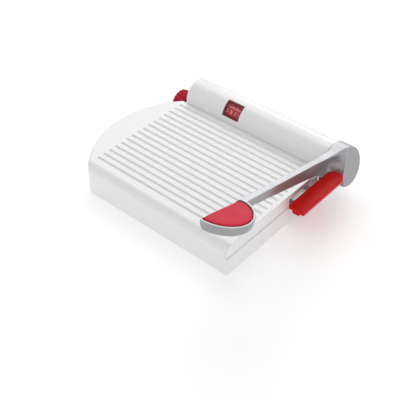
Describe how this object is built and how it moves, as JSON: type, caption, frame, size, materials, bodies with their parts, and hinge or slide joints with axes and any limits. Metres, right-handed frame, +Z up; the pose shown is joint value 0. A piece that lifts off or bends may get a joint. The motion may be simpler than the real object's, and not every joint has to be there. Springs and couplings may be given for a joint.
{
  "type": "cheese slicer",
  "caption": "Lever cheese slicer: grooved board with a swinging blade arm over its right side and a stop plate moved by a knob to set the slice thickness",
  "frame": {"origin": "on the table, under the middle of the slicer's bounding box", "axes": "+X from the knob to the blade, along the grooves; +Y from the handle end to the tube; +Z up"},
  "size_m": [0.2673, 0.2492, 0.1118],
  "materials": {
    "white_shell": "gloss",
    "grey_plastic": "satin",
    "feet_rubber": "matte",
    "cast_aluminium": "satin",
    "blade_steel": "brushed",
    "bright_steel": "polished",
    "red_pad": "satin",
    "red_plastic": "gloss",
    "bush_plastic": "satin",
    "bronze": "satin",
    "clear_window": "clear",
    "friction": "matte"
  },
  "bodies": {
    "base": {"base_frame": "white_shell", "cutting_board": "white_shell", "bottom_cover": "grey_plastic", "rubber_feet": "feet_rubber", "cover_screws": "bright_steel", "tube_housing": "white_shell", "tube_end_cap": "white_shell", "scale_window": "clear_window", "tube_screws": "bright_steel", "bearing_block": "grey_plastic", "pivot_bush": "bronze", "friction_washer": "friction", "screw_bush_left": "bush_plastic", "screw_bush_right": "bush_plastic", "rod_bushes": "bush_plastic"},
    "arm": {"arm": "cast_aluminium", "cutting_blade": "blade_steel", "blade_screws": "bright_steel", "handle_pad": "red_pad", "pad_screws": "bright_steel", "pivot_shaft": "bright_steel", "spring_washer": "bright_steel", "lock_nut": "bright_steel"},
    "knob": {"adjusting_knob": "red_plastic", "lead_screw": "bright_steel", "knob_screw": "bright_steel", "thrust_collar": "bright_steel"},
    "stop": {"stop_plate": "red_plastic", "stop_bracket": "red_plastic", "stop_screws": "bright_steel", "slide_rods": "bright_steel", "slide_carriage": "grey_plastic", "drive_nut": "bronze", "scale_drum": "red_plastic", "drum_screw": "bright_steel"}
  },
  "joints": [
    {"name": "arm_swing", "type": "hinge", "parent": "base", "child": "arm", "pos_m": [0.101, 0.104, 0.0432], "axis": [1, 0, 0], "range_deg": [-33, 15]},
    {"name": "knob_turn", "type": "hinge", "parent": "base", "child": "knob", "pos_m": [-0.111, 0.104, 0.02], "axis": [1, 0, 0], "range_deg": [0, 2160]},
    {"name": "stop_slide", "type": "slide", "parent": "base", "child": "stop", "axis": [1, 0, 0], "range_m": [0, 0.015]}
  ],
  "couplings": [
    {"joint": "knob_turn", "follows": "stop_slide", "rad_per_m": 2513.2}
  ]
}
